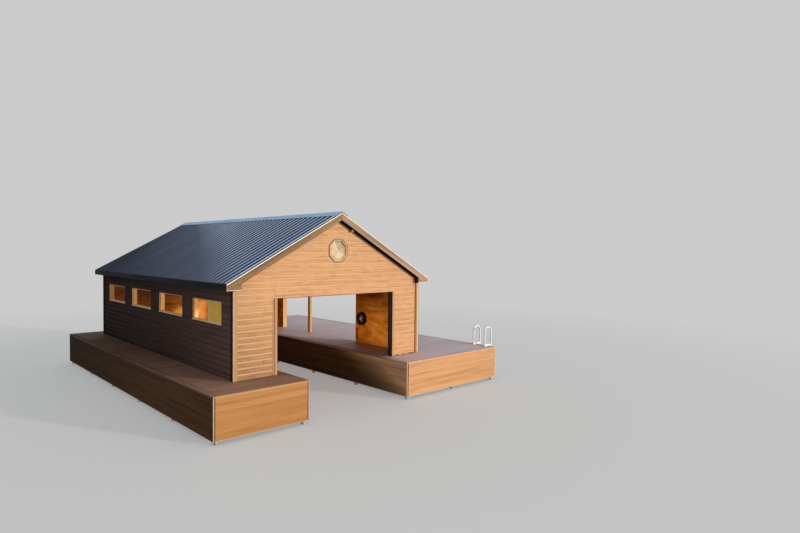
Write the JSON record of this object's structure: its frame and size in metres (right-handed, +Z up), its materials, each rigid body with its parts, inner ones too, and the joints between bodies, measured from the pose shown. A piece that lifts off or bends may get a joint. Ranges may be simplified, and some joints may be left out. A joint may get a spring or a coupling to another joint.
{
  "type": "boathouse with a U-shaped dock",
  "caption": "Timber boathouse on a U-shaped dock: a slip runs in under the front gable, with a ribbed metal gable roof, a row of side windows and a side opening.",
  "frame": {"origin": "middle of the whole outline in plan, at the level of the pile feet", "axes": "+X to the right along the front gable, +Y from the front to the back, +Z up"},
  "size_m": [9.601, 11.37, 5.0758],
  "materials": {
    "deck_boards": "weathered composite deck boards, mauve-grey brown",
    "frame_timber": "sawn softwood framing",
    "pile_steel": "galvanised steel pipe",
    "skirt_boards": "stained wood-grain boards, orange tan",
    "skirt_trim": "pale corner strip",
    "siding_tan": "horizontal siding, tan stain",
    "siding_dark": "horizontal siding, very dark brown stain",
    "trim_tan": "tan trim boards",
    "liner_black": "satin black",
    "plywood": "varnished plywood, warm orange",
    "pine": "clear-finished pine",
    "window_pane": "clear glass",
    "octagon_white": "pale window frame",
    "roof_metal": "ribbed sheet, charcoal with a blue sheen",
    "rake_brown": "grey-brown composite board",
    "fascia_black": "near-black metal",
    "soffit_dark": "dark vented soffit",
    "ladder_metal": "pale aluminium tube",
    "lamp_beige": "beige enamel",
    "reel_black": "black plastic"
  },
  "bodies": {
    "root": {"deck_left": "deck_boards", "deck_right": "deck_boards", "deck_rear": "deck_boards", "beams": "frame_timber", "joists": "frame_timber", "rafters": "frame_timber", "ridge_board": "frame_timber", "tie_beams": "frame_timber", "roof_sheathing": "frame_timber", "piles": "pile_steel", "skirt_front_left": "skirt_boards", "skirt_front_right": "skirt_boards", "skirt_left": "skirt_boards", "skirt_right": "skirt_boards", "skirt_back": "skirt_boards", "slip_skirts": "skirt_boards", "skirt_corner_trims": "skirt_trim", "front_wall_left": "siding_tan", "front_wall_right": "siding_tan", "front_gable": "siding_tan", "back_wall": "siding_tan", "left_wall_lower": "siding_dark", "left_wall_piers": "siding_dark", "left_wall_upper": "siding_dark", "right_wall_front": "siding_dark", "right_wall_rear": "siding_dark", "right_wall_header": "siding_dark", "corner_boards": "trim_tan", "opening_trim": "trim_tan", "opening_liners": "liner_black", "front_lining": "plywood", "left_lining": "plywood", "right_lining": "plywood", "back_lining": "plywood", "window_casings": "pine", "side_opening_post": "pine", "window_glass": "window_pane", "octagon_frame": "octagon_white", "metal_roof_left": "roof_metal", "metal_roof_right": "roof_metal", "ridge_cap": "roof_metal", "rake_boards": "rake_brown", "eave_fascias": "fascia_black", "soffits": "soffit_dark", "ladder_rails": "ladder_metal", "ladder_rungs": "ladder_metal", "gable_lamp": "lamp_beige", "wall_reel": "reel_black"}
  },
  "joints": []
}
